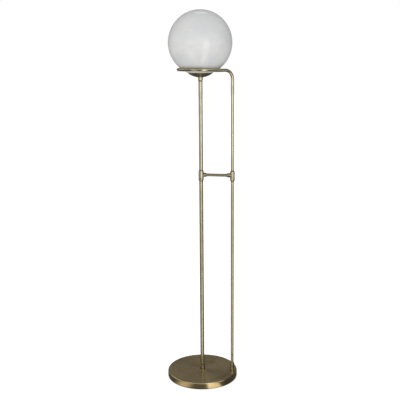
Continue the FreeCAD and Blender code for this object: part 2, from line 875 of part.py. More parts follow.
save("dish_collar", dish_collar())
save("dish_nipple", tube(nipple_radius, nipple_bore, stem_top - nipple_grip,
                         holder_height + holder_boss_height))
save("gallery_dish", gallery_dish())
save("globe_seat", globe_seat())
save("globe_clips", globe_clips())
save("dish_washer", tube(washer_radius, nipple_radius + fit, washer_seat, dish_nut_floor))
save("dish_nut", nut(dish_nut_floor))
save("holder_cap", holder_cap())
save("holder_core", holder_core())
save("holder_shell", holder_shell())
save("holder_contact", holder_contact())
save("holder_screws", holder_screws())
save("holder_skirt", holder_skirt())
save("inner_lead", inner_lead())

save("glass_globe", glass_globe())
save("bulb_glass", bulb_glass())
save("bulb_cap", bulb_cap())
save("bulb_insulator", bulb_insulator())
save("bulb_tip", bulb_tip())
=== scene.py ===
import math

import bmesh
import bpy
from mathutils import Matrix, Vector


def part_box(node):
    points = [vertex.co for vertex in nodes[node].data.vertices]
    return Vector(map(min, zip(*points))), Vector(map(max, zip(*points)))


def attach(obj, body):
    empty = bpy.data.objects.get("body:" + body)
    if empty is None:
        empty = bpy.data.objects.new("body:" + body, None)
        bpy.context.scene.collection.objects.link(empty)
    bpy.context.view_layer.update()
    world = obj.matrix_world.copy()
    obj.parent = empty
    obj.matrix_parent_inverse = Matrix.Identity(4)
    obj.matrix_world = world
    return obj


# A globe floor lamp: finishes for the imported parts, the solder at the ends of the cross bar, the studio
# and the camera. Metres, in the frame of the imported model: origin on the floor under the stem, +Z up, the
# rod on the +X side, the front at -Y.

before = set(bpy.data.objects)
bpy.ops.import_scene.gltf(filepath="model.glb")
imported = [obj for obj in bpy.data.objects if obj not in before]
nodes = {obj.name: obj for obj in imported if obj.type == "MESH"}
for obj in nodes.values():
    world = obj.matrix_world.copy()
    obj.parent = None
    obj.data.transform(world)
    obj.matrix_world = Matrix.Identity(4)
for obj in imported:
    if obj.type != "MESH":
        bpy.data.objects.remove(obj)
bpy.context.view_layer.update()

MM = 0.001
MICRON = 0.000001


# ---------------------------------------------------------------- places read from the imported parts

PAD_INSET = 7 * MM                   # the felt's edge inside the cover's


def middle(node):
    low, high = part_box(node)
    return (low + high) / 2


rod_axis = middle("rod_lower_tube").x
bar_height = middle("cross_bar").z
bar_radius = (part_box("cross_bar")[1].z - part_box("cross_bar")[0].z) / 2
base_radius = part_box("base_pad")[1].x + PAD_INSET
base_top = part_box("base_cover")[1].z
collar_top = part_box("stem_foot_collar")[1].z
ferrule_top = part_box("rod_foot_ferrule")[1].z
tee_low, tee_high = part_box("stem_tee")[0].z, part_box("stem_tee")[1].z
collar_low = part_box("dish_collar")[0].z
dish_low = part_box("gallery_dish")[0].z
bulb_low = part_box("bulb_glass")[0].z


# ---------------------------------------------------------------- node trees as expressions


class Wire:
    """One output in a node tree. Sums on wires add Math nodes to that tree."""

    def __init__(self, finish, node, output=0):
        self.finish = finish
        self.owner = node
        self.socket = node.outputs[output] if node.outputs else None

    def other(self, output):
        """Another output of the same node."""
        return Wire(self.finish, self.owner, output)

    def __add__(self, other):
        return self.finish.maths("ADD", self, other)

    __radd__ = __add__

    def __sub__(self, other):
        return self.finish.maths("SUBTRACT", self, other)

    def __rsub__(self, other):
        return self.finish.maths("SUBTRACT", other, self)

    def __mul__(self, other):
        return self.finish.maths("MULTIPLY", self, other)

    __rmul__ = __mul__

    def __truediv__(self, other):
        return self.finish.maths("DIVIDE", self, other)

    def __rtruediv__(self, other):
        return self.finish.maths("DIVIDE", other, self)

    def __pow__(self, other):
        return self.finish.maths("POWER", self, other)

    def __abs__(self):
        return self.finish.maths("ABSOLUTE", self)


class Finish:
    """The node tree of a material or of the world."""

    def __init__(self, tree):
        self.tree = tree
        tree.nodes.clear()

    def node(self, kind, settings=None, sockets=None, output=0):
        """Adds one node: its settings first, then a value or a wire for each socket it names."""
        node = self.tree.nodes.new(kind)
        for name, value in (settings or {}).items():
            setattr(node, name, value)
        for name, value in (sockets or {}).items():
            if isinstance(value, Wire):
                self.tree.links.new(value.socket, node.inputs[name])
            else:
                node.inputs[name].default_value = value
        return Wire(self, node, output)

    def maths(self, operation, *values):
        return self.node("ShaderNodeMath", {"operation": operation}, dict(enumerate(values)))

    def place(self):
        """The point on the part, in metres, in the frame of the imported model."""
        return self.node("ShaderNodeTexCoord", output="Object")

    def xyz(self, vector):
        parts = self.node("ShaderNodeSeparateXYZ", {}, {"Vector": vector})
        return parts, parts.other(1), parts.other(2)

    def vector(self, x, y, z):
        return self.node("ShaderNodeCombineXYZ", {}, {"X": x, "Y": y, "Z": z})

    def stretch(self, vector, x, y, z):
        return self.node("ShaderNodeVectorMath", {"operation": "MULTIPLY"}, {0: vector, 1: (x, y, z)})

    def noise(self, vector, scale, detail=2.0, roughness=0.5):
        """Soft random grain, between nought and one. scale is the number of grains in a metre."""
        sockets = {"Vector": vector, "Scale": scale, "Detail": detail, "Roughness": roughness}
        return self.node("ShaderNodeTexNoise", {}, sockets)

    def dots(self, scale, inner, outer):
        """One in small scattered dots, scale of them in a metre, fading from an inner to an outer radius
        in parts of their spacing."""
        sockets = {"Vector": self.place(), "Scale": scale}
        distance = self.node("ShaderNodeTexVoronoi", {}, sockets, "Distance")
        return self.ease(distance, inner, outer, 1.0, 0.0)

    def ease(self, value, low, high, start=0.0, end=1.0):
        """A value's passage from low to high as a smooth step from start to end."""
        sockets = {"Value": value, "From Min": low, "From Max": high, "To Min": start, "To Max": end}
        return self.node("ShaderNodeMapRange", {"interpolation_type": "SMOOTHSTEP"}, sockets)

    def near(self, value, at, reach):
        """One where a value is at a place, fading to nothing a reach away from it."""
        return self.ease(abs(value - at), 0.0, reach, 1.0, 0.0)

    def tint(self, factor, first, second):
        """A colour between two: the first at nought, the second at one."""
        return self.node("ShaderNodeMix", {"data_type": "RGBA"}, {0: factor, 6: first, 7: second}, 2)

    def round_axis(self, x, y, axis_x=0.0):
        """Angle about a vertical axis, as a length along a unit circle, and distance from it."""
        across = x - axis_x
        angle = self.maths("ARCTAN2", y, across)
        return angle, (across * across + y * y) ** 0.5

    def rubbed_edges(self, width):
        """One along sharp edges, where handling takes the dark off."""
        eased = self.node("ShaderNodeBevel", {"samples": 4}, {"Radius": width})
        flat = self.node("ShaderNodeNewGeometry", output="Normal")
        alike = self.node("ShaderNodeVectorMath", {"operation": "DOT_PRODUCT"},
                          {0: eased, 1: flat}, "Value")
        return self.ease(1 - alike, 0.01, 0.12)

    def bump(self, height, depth):
        """A normal from a height of nought to one and the depth that it stands for, in metres."""
        return self.node("ShaderNodeBump", {}, {"Distance": depth, "Height": height})

    def looked_at(self):
        """One for whatever the camera sees, straight, mirrored or through glass, and nought for light."""
        straight = self.node("ShaderNodeLightPath", output="Is Camera Ray")
        rays = straight + straight.other("Is Glossy Ray") + straight.other("Is Transmission Ray")
        return self.maths("MINIMUM", rays, 1.0)

    def shader(self, **sockets):
        """The main shader. Socket names are written with underscores for their spaces."""
        named = {name.replace("_", " "): value for name, value in sockets.items()}
        return self.node("ShaderNodeBsdfPrincipled", {}, named)

    def surface(self, **sockets):
        """The main shader as the whole surface."""
        self.node("ShaderNodeOutputMaterial", {}, {"Surface": self.shader(**sockets)})

    def blend(self, factor, first, second):
        """Two shaders as the surface: the first at nought, the second at one."""
        mixed = self.node("ShaderNodeMixShader", {}, {0: factor, 1: first, 2: second})
        self.node("ShaderNodeOutputMaterial", {}, {"Surface": mixed})


def new_finish(name):
    material = bpy.data.materials.new(name)
    material.use_nodes = True
    return material, Finish(material.node_tree)


def shade(red, green, blue):
    """A colour from the 0 to 255 of a colour card, in the light's own scale."""
    def linear(value):
        value /= 255
        return value / 12.92 if value <= 0.04045 else ((value + 0.055) / 1.055) ** 2.4

    return (linear(red), linear(green), linear(blue), 1.0)


# ---------------------------------------------------------------- finishes

BRASS = shade(174, 167, 142)
BRASS_PALE = shade(188, 182, 157)
BRASS_DARK = shade(136, 124, 95)
BRASS_DEEP = shade(84, 68, 44)

ACROSS = 0.25                        # a quarter turn: light scatters across the polishing's circles

# How slowly the grain changes along each kind of polishing, against across it.
GRAIN_ALONG = {"drawn": 0.012, "turned": 0.0004, "bent": 0.0012}

COVER_BRASS = shade(180, 163, 124)
COVER_PALE = shade(192, 176, 138)
COVER_BAND = shade(156, 139, 99)
COVER_GROOVE = shade(134, 118, 84)
COVER_CLOUD = shade(150, 124, 92)
# The next colour is a painted highlight on the cover's rounded edge.
COVER_RIM_HIGHLIGHT = shade(244, 230, 192)
COVER_SCUFF = shade(184, 170, 136)

GLASS_FOOT_REFLECTION = (1.257, 1.285)          # heights between which the painted warm reflection of the brass on the glass's foot fades
GLASS_CROWN = (1.44, 1.5)            # heights over which dust sets in
CAP_THREAD = (12.2 * MM, 13.0 * MM)  # root and crest of the bulb cap's thread


def antique_brass(name, lay, axis_x=0.0, joint_patina_and_shade=(), rub=0.6 * MM):
    """Lacquered brass with a brown patina. lay is how its polishing runs: 'drawn' along Z, 'turned' round
    a vertical axis or 'bent' round the ring. The list of joints gives the places where the patina is darker
    and shade is painted in: height, reach and strength. rub is the width of the rubbed edges."""
    material, f = new_finish(name)
    point = f.place()
    x, y, z = f.xyz(point)
    angle, radius = f.round_axis(x, y, axis_x)
    along = GRAIN_ALONG[lay]
    hairs = f.stretch(point, 1.0, 1.0, along) if lay == "drawn" else f.vector(radius, z, angle * along)
    fine_hairs = f.noise(hairs, 5200.0, 3.0, 0.6)
    long_hairs = f.noise(hairs, 1300.0, 2.0, 0.5)
    scratches = f.ease(fine_hairs, 0.66, 0.72)
    clouds = f.noise(point, 22.0, 4.0, 0.55)
    speckle = f.noise(point, 900.0, 2.0, 0.6)
    spots = f.dots(260.0, 0.02, 0.10) * f.ease(f.noise(point, 60.0, 1.0), 0.60, 0.66)
    # Patina in random clouds, darker at the joints, where it is also painted shade.
    patina_and_shade = (clouds - 0.5) * 0.5
    for height, reach, strength in joint_patina_and_shade:
        patina_and_shade = patina_and_shade + f.near(z, height, reach) * strength
    patina_and_shade = f.ease(patina_and_shade, 0.15, 1.0)

    colour = f.tint(f.ease(clouds, 0.38, 0.66), BRASS, BRASS_PALE)
    colour = f.tint(f.ease(speckle, 0.52, 0.78, 0.0, 0.16), colour, BRASS_DARK)
    colour = f.tint(f.ease(long_hairs, 0.5, 0.75, 0.0, 0.20), colour, BRASS_DARK)
    colour = f.tint(spots * 0.5, colour, BRASS_DEEP)
    # Darker patina, with painted shade at the joints.
    colour = f.tint(patina_and_shade * 0.9, colour, BRASS_DEEP)
    if rub:
        colour = f.tint(f.rubbed_edges(rub) * 0.7, colour, BRASS_PALE)
    colour = f.tint(scratches * 0.25, colour, BRASS_PALE)
    rough = 0.13 + clouds * 0.07 + long_hairs * 0.05 + patina_and_shade * 0.22 + spots * 0.2
    relief = fine_hairs * 0.5 + long_hairs * 0.15 - scratches * 0.4 + speckle * 0.1
    f.surface(Base_Color=colour, Metallic=1.0, Roughness=rough, Anisotropic=0.0 if lay == "bent" else 0.85,
              Anisotropic_Rotation=ACROSS, Coat_Weight=0.12, Coat_Roughness=0.18,
              Normal=f.bump(relief, 1.5 * MICRON))
    return material


def spun_brass(name):
    """The cover: brass brushed in circles, browner than the tubes, dark low on its wall, with a painted
    highlight along its rounded edge. The grooves scatter light far along the radius, and the polished lands
    between them mirror what stands on it."""
    material, f = new_finish(name)
    point = f.place()
    x, y, z = f.xyz(point)
    angle, radius = f.round_axis(x, y)
    track = radius - z
    grooves = f.noise(f.vector(track, angle * 0.0011, 0.0), 3400.0, 4.0, 0.65)
    bands = f.noise(f.vector(track, angle * 0.004, 0.0), 240.0, 3.0, 0.6)
    wide = f.noise(f.vector(track, angle * 0.02, 0.3), 36.0, 2.0, 0.5)
    clouds = f.noise(point, 14.0, 4.0, 0.6)
    hairs = f.ease(grooves, 0.60, 0.70)
    speckle = f.noise(point, 1100.0, 2.0, 0.6)
    stroke = f.noise(f.stretch(point, 1.0, 0.16, 1.0), 420.0, 2.0, 0.5)
    scuffs = f.ease(stroke, 0.70, 0.76) * f.ease(f.noise(point, 17.0, 1.0), 0.52, 0.62)
    corner = base_radius + base_top      # the middle of the rounding lies 3.5 mm short of this sum
    rim_highlight = f.ease(radius + z, corner - 4.6 * MM, corner - 3.8 * MM)

    colour = f.tint(f.ease(wide, 0.35, 0.65), COVER_BRASS, COVER_PALE)
    colour = f.tint(f.ease(bands, 0.45, 0.75, 0.0, 0.55), colour, COVER_BAND)
    colour = f.tint(f.ease(grooves, 0.35, 0.62, 0.5, 0.0), colour, COVER_GROOVE)
    colour = f.tint(f.ease(clouds, 0.54, 0.74, 0.0, 0.45), colour, COVER_CLOUD)
    colour = f.tint(f.ease(speckle, 0.66, 0.80, 0.0, 0.3), colour, BRASS_DEEP)
    colour = f.tint(f.ease(z, 1.5 * MM, 10 * MM, 0.55, 0.0), colour, BRASS_DEEP)
    # A painted highlight along the rounded edge.
    colour = f.tint(rim_highlight * 0.6, colour, COVER_RIM_HIGHLIGHT)
    colour = f.tint(hairs * 0.3 + scuffs * 0.35, colour, COVER_SCUFF)
    relief = f.bump(grooves * 0.7 + bands * 0.3 + scuffs * 0.3, 12 * MICRON)
    lands = f.shader(Base_Color=colour, Metallic=1.0,
                     Roughness=0.17 + bands * 0.08 + clouds * 0.06 + scuffs * 0.2,
                     Anisotropic=0.9, Anisotropic_Rotation=ACROSS, Coat_Weight=0.1, Coat_Roughness=0.12,
                     Normal=relief)
    valleys = f.shader(Base_Color=colour, Metallic=1.0, Roughness=0.42 + bands * 0.06 + hairs * 0.04,
                       Anisotropic=1.0, Anisotropic_Rotation=ACROSS, Normal=relief)
    f.blend(f.ease(grooves, 0.3, 0.7, 0.2, 0.6), lands, valleys)
    return material


def plain_brass(name):
    """Raw turned brass of the fittings inside."""
    material, f = new_finish(name)
    point = f.place()
    z = f.xyz(point)[2]
    lines = f.noise(f.vector(z, 0.0, 0.0), 5200.0, 2.0, 0.6)
    clouds = f.noise(point, 120.0, 3.0, 0.6)
    colour = f.tint(clouds, shade(196, 164, 92), shade(176, 140, 74))
    colour = f.tint(f.rubbed_edges(0.3 * MM) * 0.6, colour, shade(222, 196, 130))
    f.surface(Base_Color=colour, Metallic=1.0, Roughness=0.26 + clouds * 0.16,
              Normal=f.bump(lines, 10 * MICRON))
    return material


def cast_iron(name):
    """Rough casting with a thin black paint."""
    material, f = new_finish(name)
    point = f.place()
    sand = f.noise(point, 900.0, 5.0, 0.7)
    lumps = f.noise(point, 110.0, 3.0, 0.6)
    rust = f.ease(f.noise(point, 30.0, 5.0, 0.7), 0.60, 0.74)
    colour = f.tint(sand, shade(38, 38, 40), shade(62, 61, 60))
    colour = f.tint(rust * 0.7, colour, shade(96, 58, 36))
    f.surface(Base_Color=colour, Metallic=0.25, Roughness=0.62 + sand * 0.25,
              Normal=f.bump(sand * 0.5 + lumps, 350 * MICRON))
    return material


def felt(name):
    """Pressed wool under the base: matted fibres, no weave."""
    material, f = new_finish(name)
    point = f.place()
    warp = f.noise(point, 420.0, 2.0, 0.6)
    x, y, z = f.xyz(point)
    fibres = f.noise(f.vector(x + warp * 0.004, y - warp * 0.003, z * 2), 1500.0, 4.0, 0.75)
    tufts = f.noise(point, 160.0, 3.0, 0.6)
    colour = f.tint(fibres, shade(24, 25, 27), shade(70, 70, 72))
    colour = f.tint(f.ease(tufts, 0.55, 0.8, 0.0, 0.5), colour, shade(44, 43, 42))
    f.surface(Base_Color=colour, Roughness=0.96, Specular_IOR_Level=0.2, Sheen_Weight=0.35,
              Sheen_Roughness=0.6, Normal=f.bump(fibres + tufts * 0.6, 400 * MICRON))
    return material


def rubber(name, dark, light, rough, clear=0.0):
    """Moulded rubber or silicone: faint flow, a dusty bloom, a fine mould texture."""
    material, f = new_finish(name)
    point = f.place()
    grain = f.noise(point, 2600.0, 2.0, 0.6)
    bloom = f.noise(point, 130.0, 4.0, 0.6)
    colour = f.tint(f.ease(bloom, 0.42, 0.75), dark, light)
    f.surface(Base_Color=colour, Roughness=rough + bloom * 0.15 + grain * 0.06,
              Transmission_Weight=clear, Normal=f.bump(grain, 20 * MICRON))
    return material


def plated_steel(name, tone, dark, rough, thread=0.0):
    """Zinc-plated, blacked or sprung steel. thread is the pitch of a rolled thread, or nothing."""
    material, f = new_finish(name)
    point = f.place()
    x, y, z = f.xyz(point)
    patches = f.noise(point, 240.0, 3.0, 0.6)
    grain = f.noise(f.stretch(point, 1.0, 1.0, 0.15), 4200.0, 2.0, 0.6)
    colour = f.tint(f.ease(patches, 0.35, 0.75), tone, dark)
    colour = f.tint(f.rubbed_edges(0.25 * MM) * 0.5, colour, shade(214, 214, 212))
    height, depth = grain, 10 * MICRON
    if thread:
        turns = z / thread + f.maths("ARCTAN2", y, x) / (2 * math.pi)
        ridge = f.maths("PINGPONG", turns, 0.5) * 2
        colour = f.tint(f.ease(ridge, 0.0, 0.5, 0.6, 0.0), colour, dark)
        height, depth = ridge + grain * 0.05, thread * 0.4
    f.surface(Base_Color=colour, Metallic=1.0, Roughness=rough + patches * 0.14 + grain * 0.05,
              Normal=f.bump(height, depth))
    return material


def moulded_plastic(name, pale, dim):
    """Thermoplastic of the lampholder: a fine mould grain, flow lines, a mould seam, handling marks."""
    material, f = new_finish(name)
    point = f.place()
    y = f.xyz(point)[1]
    grain = f.noise(point, 3200.0, 3.0, 0.6)
    flow = f.noise(f.stretch(point, 1.0, 1.0, 0.25), 90.0, 3.0, 0.6)
    marks = f.ease(f.noise(point, 48.0, 4.0, 0.6), 0.60, 0.72)
    seam = f.near(y, 0.0, 0.18 * MM) * 0.5
    colour = f.tint(f.ease(flow, 0.35, 0.7), pale, dim)
    colour = f.tint(marks * 0.35, colour, shade(176, 168, 150))
    colour = f.tint(f.rubbed_edges(0.4 * MM) * 0.3, colour, shade(240, 238, 232))
    f.surface(Base_Color=colour, Roughness=0.42 + grain * 0.12 - marks * 0.08, Specular_IOR_Level=0.45,
              Normal=f.bump(grain + seam, 40 * MICRON))
    return material


def porcelain(name):
    """Glazed ceramic: slow waves in the glaze, pin holes, a warmer body where the glaze thins at edges."""
    material, f = new_finish(name)
    point = f.place()
    waves = f.noise(point, 130.0, 2.0, 0.5)
    pins = f.dots(700.0, 0.02, 0.06)
    colour = f.tint(f.ease(waves, 0.4, 0.7), shade(236, 233, 222), shade(226, 221, 206))
    colour = f.tint(f.rubbed_edges(0.5 * MM) * 0.7, colour, shade(204, 186, 158))
    colour = f.tint(pins * 0.5, colour, shade(150, 138, 120))
    f.surface(Base_Color=colour, Roughness=0.14 + waves * 0.1 + pins * 0.3,
              Normal=f.bump(waves - pins * 0.3, 120 * MICRON))
    return material


def opal_glass(name):
    """Blown opal glass with a satin skin: milky clouds that follow the blowing, a few seeds, a painted warm
    reflection of the brass on its foot, dust on the crown and faint wiping marks in the gloss."""
    material, f = new_finish(name)
    point = f.place()
    x, y, z = f.xyz(point)
    angle, radius = f.round_axis(x, y)
    milk = f.noise(point, 16.0, 4.0, 0.55)
    swirl = f.noise(f.vector(angle * 0.05, z, milk * 0.02), 60.0, 3.0, 0.6)
    satin = f.noise(point, 2600.0, 2.0, 0.6)
    ripple = f.noise(point, 42.0, 2.0, 0.5)
    seeds = f.dots(95.0, 0.012, 0.03)
    wiped = f.noise(f.vector(angle * 0.12, z * 0.5, radius * 0.5), 90.0, 3.0, 0.6)
    dust = f.ease(f.noise(point, 1400.0, 1.0, 0.5), 0.70, 0.76) * f.ease(z, *GLASS_CROWN)
    foot = f.ease(z, *GLASS_FOOT_REFLECTION, 1.0, 0.0)
    colour = f.tint(f.ease(milk, 0.36, 0.66), shade(233, 234, 234), shade(239, 239, 237))
    colour = f.tint(f.ease(swirl, 0.46, 0.74, 0.0, 0.5), colour, shade(226, 228, 230))
    # A painted warm reflection of the brass below, on the glass's foot.
    colour = f.tint(foot * 0.5, colour, shade(236, 226, 206))
    colour = f.tint(seeds * 0.35, colour, shade(206, 208, 210))
    colour = f.tint(dust * 0.25, colour, shade(196, 192, 184))
    rough = 0.13 + satin * 0.04 + f.ease(wiped, 0.45, 0.75, 0.0, 0.06) + dust * 0.2
    relief = satin * 0.03 + ripple + seeds * 0.25
    f.surface(Base_Color=colour, Roughness=rough, IOR=1.5, Normal=f.bump(relief, 100 * MICRON))
    return material


def frosted_glass(name):
    """The bulb: white powder-coated glass, a little thinner and greyer towards its neck."""
    material, f = new_finish(name)
    point = f.place()
    z = f.xyz(point)[2]
    powder = f.noise(point, 1900.0, 3.0, 0.6)
    drift = f.noise(point, 70.0, 3.0, 0.6)
    neck = f.ease(z, bulb_low, bulb_low + 45 * MM, 1.0, 0.0)
    colour = f.tint(f.ease(drift, 0.35, 0.7), shade(240, 239, 234), shade(232, 231, 227))
    colour = f.tint(neck * (0.35 + powder * 0.3), colour, shade(196, 197, 198))
    f.surface(Base_Color=colour, Roughness=0.34 + powder * 0.16, IOR=1.5,
              Normal=f.bump(powder * 0.6 + drift, 50 * MICRON))
    return material


def bulb_cap_metal(name):
    """Thin rolled aluminium: dull in the thread's roots, bright on its crests, with pressing marks."""
    material, f = new_finish(name)
    point = f.place()
    x, y, z = f.xyz(point)
    angle, radius = f.round_axis(x, y)
    crest = f.ease(radius, *CAP_THREAD)
    rings = f.noise(f.vector(z, angle * 0.0006, 0.0), 4200.0, 3.0, 0.6)
    dull = f.noise(point, 260.0, 4.0, 0.6)
    colour = f.tint(crest, shade(150, 150, 150), shade(206, 206, 204))
    colour = f.tint(f.ease(dull, 0.5, 0.75, 0.0, 0.5), colour, shade(128, 126, 120))
    f.surface(Base_Color=colour, Metallic=1.0, Roughness=0.30 + dull * 0.2 - crest * 0.08,
              Normal=f.bump(rings + dull * 0.4, 30 * MICRON))
    return material


def black_glass(name):
    """The vitrite between the bulb's cap and its tip: fused, glossy, slightly pitted."""
    material, f = new_finish(name)
    pits = f.dots(900.0, 0.05, 0.2)
    flow = f.noise(f.place(), 300.0, 3.0, 0.6)
    colour = f.tint(flow, shade(16, 16, 20), shade(40, 36, 40))
    f.surface(Base_Color=colour, Roughness=0.10 + flow * 0.16 + pits * 0.3,
              Normal=f.bump(flow - pits * 0.4, 120 * MICRON))
    return material


def solder(name, pale, dark):
    """A dull bead of solder: frozen ripples and grey oxide."""
    material, f = new_finish(name)
    point = f.place()
    ripples = f.noise(point, 900.0, 3.0, 0.5)
    oxide = f.noise(point, 420.0, 4.0, 0.7)
    colour = f.tint(f.ease(oxide, 0.4, 0.7), pale, dark)
    f.surface(Base_Color=colour, Metallic=1.0, Roughness=0.30 + oxide * 0.25,
              Normal=f.bump(ripples, 120 * MICRON))
    return material


def lead_sheath(name):
    """The inner lead's plastic sheath: extrusion lines along it and grubby patches."""
    material, f = new_finish(name)
    point = f.place()
    lines = f.noise(f.stretch(point, 1.0, 1.0, 0.03), 3200.0, 2.0, 0.5)
    grub = f.noise(point, 60.0, 4.0, 0.6)
    colour = f.tint(f.ease(grub, 0.45, 0.75), shade(228, 226, 218), shade(190, 186, 174))
    f.surface(Base_Color=colour, Roughness=0.45 + grub * 0.15, Normal=f.bump(lines, 30 * MICRON))
    return material


# ---------------------------------------------------------------- finishes onto the imported parts

# Height, reach and strength of the darker patina and painted shade at each joint.
TEE_JOINTS = [(tee_low, 8 * MM, 0.7), (tee_high, 8 * MM, 0.7)]
STEM_JOINTS = [(collar_top, 10 * MM, 0.8)] + TEE_JOINTS + [(collar_low, 10 * MM, 0.8)]
ROD_JOINTS = [(ferrule_top, 10 * MM, 0.8)] + TEE_JOINTS
RING_JOINTS = [(tee_high, 8 * MM, 0.7)]
FOOT_JOINTS = [(base_top, 4 * MM, 1.0)]
DISH_JOINTS = [(dish_low, 4 * MM, 0.9)]

THREAD_PITCH = 1 * MM

stem_brass = antique_brass("drawn_brass_stem", "drawn", joint_patina_and_shade=STEM_JOINTS, rub=0.0)
turned_stem = antique_brass("turned_brass_stem", "turned", joint_patina_and_shade=FOOT_JOINTS)
turned_rod = antique_brass("turned_brass_rod", "turned", rod_axis, FOOT_JOINTS)
fittings_brass = plain_brass("turned_fittings_brass")
threaded_steel = plated_steel("threaded_zinc_steel", shade(198, 199, 202), shade(132, 133, 136), 0.26,
                              THREAD_PITCH)
plain_zinc = plated_steel("zinc_steel", shade(200, 201, 204), shade(146, 147, 150), 0.26)

coats = {
    "rod_lower_tube": antique_brass("drawn_brass_rod", "drawn", rod_axis, ROD_JOINTS, 0.0),
    "ring_rod": antique_brass("bent_brass_ring", "bent", joint_patina_and_shade=RING_JOINTS, rub=0.0),
    "cross_bar": antique_brass("drawn_brass_bar", "turned", rub=0.0),
    "gallery_dish": antique_brass("spun_brass_dish", "turned", joint_patina_and_shade=DISH_JOINTS),
    "base_cover": spun_brass("spun_brass_cover"),
    "base_weight": cast_iron("iron_casting"),
    "base_pad": felt("pressed_felt"),
    "cord_grommet": rubber("rubber_bush", shade(26, 26, 27), shade(46, 45, 44), 0.55),
    "globe_seat": rubber("silicone_seat", shade(226, 226, 220), shade(206, 206, 198), 0.40, clear=0.25),
    "tee_grub_screws": plated_steel("blacked_steel", shade(62, 58, 52), shade(34, 32, 30), 0.35),
    "globe_clips": plated_steel("sprung_steel", shade(176, 176, 178), shade(128, 126, 126), 0.22),
    "holder_cap": moulded_plastic("holder_plastic_cap", shade(231, 229, 221), shade(222, 219, 208)),
    "holder_skirt": moulded_plastic("holder_plastic_skirt", shade(233, 231, 223), shade(224, 221, 210)),
    "holder_core": porcelain("glazed_porcelain"),
    "inner_lead": lead_sheath("lead_sheath"),
    "glass_globe": opal_glass("opal_glass"),
    "bulb_glass": frosted_glass("frosted_bulb_glass"),
    "bulb_cap": bulb_cap_metal("rolled_cap_metal"),
    "bulb_insulator": black_glass("black_vitrite"),
    "bulb_tip": solder("tip_solder", shade(190, 190, 188), shade(132, 132, 130)),
}
for material, names in (
    (stem_brass, ("stem_lower_tube", "stem_upper_tube")),
    (turned_stem, ("stem_foot_collar", "stem_tee", "dish_collar")),
    (turned_rod, ("rod_foot_ferrule", "rod_tee")),
    (fittings_brass, ("stem_end_bushes", "rod_end_plugs", "holder_contact", "holder_shell")),
    (threaded_steel, ("stem_foot_nipple", "stem_joint_nipple", "dish_nipple")),
    (plain_zinc, ("stem_foot_washer", "stem_foot_nut", "rod_foot_screw", "rod_foot_washer",
                  "rod_joint_stud", "dish_washer", "dish_nut", "holder_screws")),
):
    for name in names:
        coats[name] = material

for name, node in nodes.items():
    for slot in node.material_slots:
        slot.material = coats[name]


# ---------------------------------------------------------------- solder at the ends of the cross bar

BEAD_REACH = 0.55 * MM
BEAD_SUNK = 0.2 * MM                 # how far a bead goes into the brass on both sides


def put_in_scene(name, mesh, material):
    """An object made of one mesh with one finish."""
    thing = bpy.data.objects.new(name, mesh)
    bpy.context.scene.collection.objects.link(thing)
    mesh.materials.append(material)
    return thing


def add_piece(name, mesh, material, body):
    """A smooth piece that rides on a body of the lamp."""
    piece = put_in_scene(name, mesh, material)
    for face in mesh.polygons:
        face.use_smooth = True
    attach(piece, body)


def turned_mesh(name, profile, steps=64):
    """A closed profile of (distance from the axis, height) turned about Z."""
    shape = bmesh.new()
    rings = []
    for step in range(steps):
        turn = 2 * math.pi * step / steps
        rings.append([shape.verts.new((r * math.cos(turn), r * math.sin(turn), h)) for r, h in profile])
    count = len(profile)
    for step, ring in enumerate(rings):
        beside = rings[(step + 1) % steps]
        for corner in range(count):
            after = (corner + 1) % count
            shape.faces.new((ring[corner], beside[corner], beside[after], ring[after]))
    bmesh.ops.recalc_face_normals(shape, faces=shape.faces)
    mesh = bpy.data.meshes.new(name)
    shape.to_mesh(mesh)
    shape.free()
    return mesh


def fillet_profile(inner, reach, steps=8):
    """A concave bead in a corner between a tube and a face: it climbs the face as far as it runs along."""
    points = [(inner - BEAD_SUNK, -BEAD_SUNK), (inner + reach, -BEAD_SUNK)]
    for step in range(steps + 1):
        turn = math.pi / 2 * step / steps
        points.append((inner + reach - reach * math.sin(turn), reach - reach * math.cos(turn)))
    points.append((inner - BEAD_SUNK, reach))
    return points


bead_solder = solder("joint_solder", shade(172, 158, 122), shade(104, 92, 66))
for name, end, side in (
    ("bar_bead_stem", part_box("stem_tee")[1].x, 1),
    ("bar_bead_rod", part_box("rod_tee")[0].x, -1),
):
    bead = turned_mesh(name, fillet_profile(bar_radius, BEAD_REACH))
    bead.transform(Matrix.Translation((end, 0, bar_height)) @ Matrix.Rotation(side * math.pi / 2, 4, "Y"))
    add_piece(name, bead, bead_solder, "stand")


# ---------------------------------------------------------------- studio

VIEW_TURN = math.radians(9.965)      # of the camera round the lamp, from the front towards the rod
VIEW_DROP = math.radians(10.853)     # of its line of sight under the level
VIEW_ROLL = math.radians(-0.440)

BLACK = (0.0, 0.0, 0.0, 1.0)
WHITE = (1.0, 1.0, 1.0, 1.0)
SOFT_LIGHT = (0.60, 0.60, 0.605, 1.0)
FLOOR_COLOUR = (0.90, 0.90, 0.90, 1.0)
FLOOR_GLOW = (0.60, 0.60, 0.60, 1.0)
FLOOR_SIZE = 30.0
FLOOR_SUNK = 0.2 * MM

# Tones of the room that metal and glass mirror.
ROOM_DARK = (0.07, 0.066, 0.06, 1.0)
ROOM_LEFT = (0.62, 0.60, 0.54, 1.0)
ROOM_FRONT = (1.05, 1.02, 0.95, 1.0)
ROOM_WINDOW = (1.2, 1.16, 1.1, 1.0)
ROOM_LOW_BACK = (0.10, 0.097, 0.09, 1.0)
ROOM_BACK = (0.31, 0.30, 0.28, 1.0)
ROOM_CEILING = (0.16, 0.16, 0.155, 1.0)
GROUND = (0.12, 0.11, 0.10, 1.0)
GROUND_STREAK = (2.4, 2.2, 1.9, 1.0)

# Turns of the bright places to the camera's right, in radians.
STREAK_TURN = 0.377
WINDOW_TURN = -0.66

